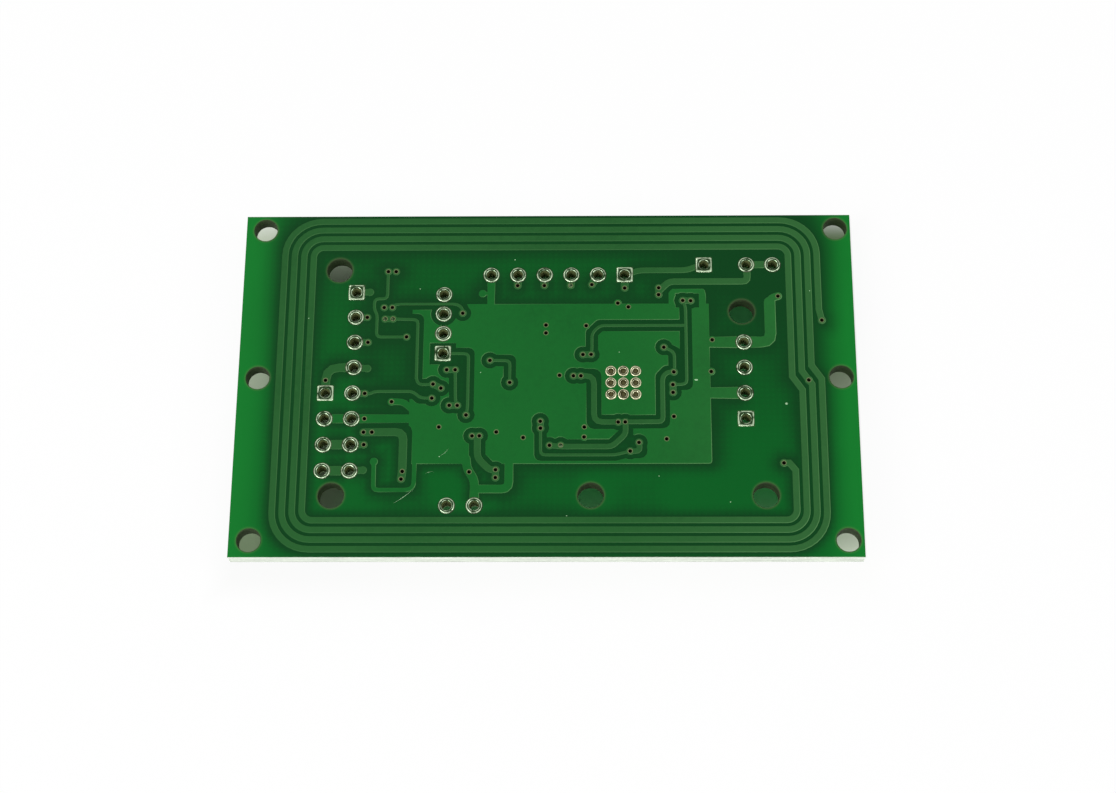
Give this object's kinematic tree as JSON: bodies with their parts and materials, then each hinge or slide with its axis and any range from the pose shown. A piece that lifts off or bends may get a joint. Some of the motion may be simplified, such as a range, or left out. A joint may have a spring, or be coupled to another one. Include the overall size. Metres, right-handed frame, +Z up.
{
  "type": "rfid reader module",
  "caption": "Printed circuit board module with a printed loop antenna round its edge, header pads and mounting holes, lying solder side up on the parts beneath.",
  "frame": {"origin": "under the middle of the board, on the surface that the module lies on", "axes": "+X along the long side towards the output header, +Y across the board towards the serial header, +Z up out of the solder side"},
  "size_m": [0.058, 0.034, 0.0058],
  "materials": {
    "laminate": "woven glass-epoxy laminate, pale olive brown, matt on its sawn edges",
    "solder_mask": "green glossy solder mask, lighter over copper",
    "copper": "etched copper",
    "solder": "bright reflowed tin solder",
    "legend_ink": "matt white printed ink",
    "chip_mould": "black moulding compound",
    "lead_metal": "tin-plated terminals",
    "crystal_metal": "drawn nickel-plated can",
    "tantalum_mould": "yellow moulded case",
    "ferrite": "dark grey ferrite",
    "capacitor_ceramic": "fired tan ceramic",
    "resistor_film": "black glazed film",
    "lamp_lens": "milky clear lens"
  },
  "bodies": {
    "root": {"laminate": "laminate", "solder_side_mask": "solder_mask", "component_side_mask": "solder_mask", "antenna_coil": "copper", "ground_pour": "copper", "signal_tracks": "copper", "via_barrels": "copper", "component_side_pour": "copper", "component_side_tracks": "copper", "footprint_pads": "copper", "serial_header_pads": "solder", "io_header_pads": "solder", "option_header_pads": "solder", "output_header_pads": "solder", "programming_header_pads": "solder", "indicator_pads": "solder", "power_pads": "solder", "thermal_vias": "solder", "via_solder_plugs": "solder", "solder_joints": "solder", "printed_legend": "legend_ink", "reader_chip": "chip_mould", "controller": "chip_mould", "regulator": "chip_mould", "crystal_bases": "chip_mould", "reader_chip_terminals": "lead_metal", "controller_leads": "lead_metal", "regulator_leads": "lead_metal", "crystal_leads": "lead_metal", "tantalum_terminals": "lead_metal", "inductor_terminals": "lead_metal", "capacitor_terminals": "lead_metal", "resistor_terminals": "lead_metal", "lamp_terminals": "lead_metal", "crystal_cans": "crystal_metal", "tantalum_capacitors": "tantalum_mould", "filter_inductors": "ferrite", "ceramic_capacitors": "capacitor_ceramic", "resistors": "resistor_film", "status_lamp": "lamp_lens"}
  },
  "joints": []
}
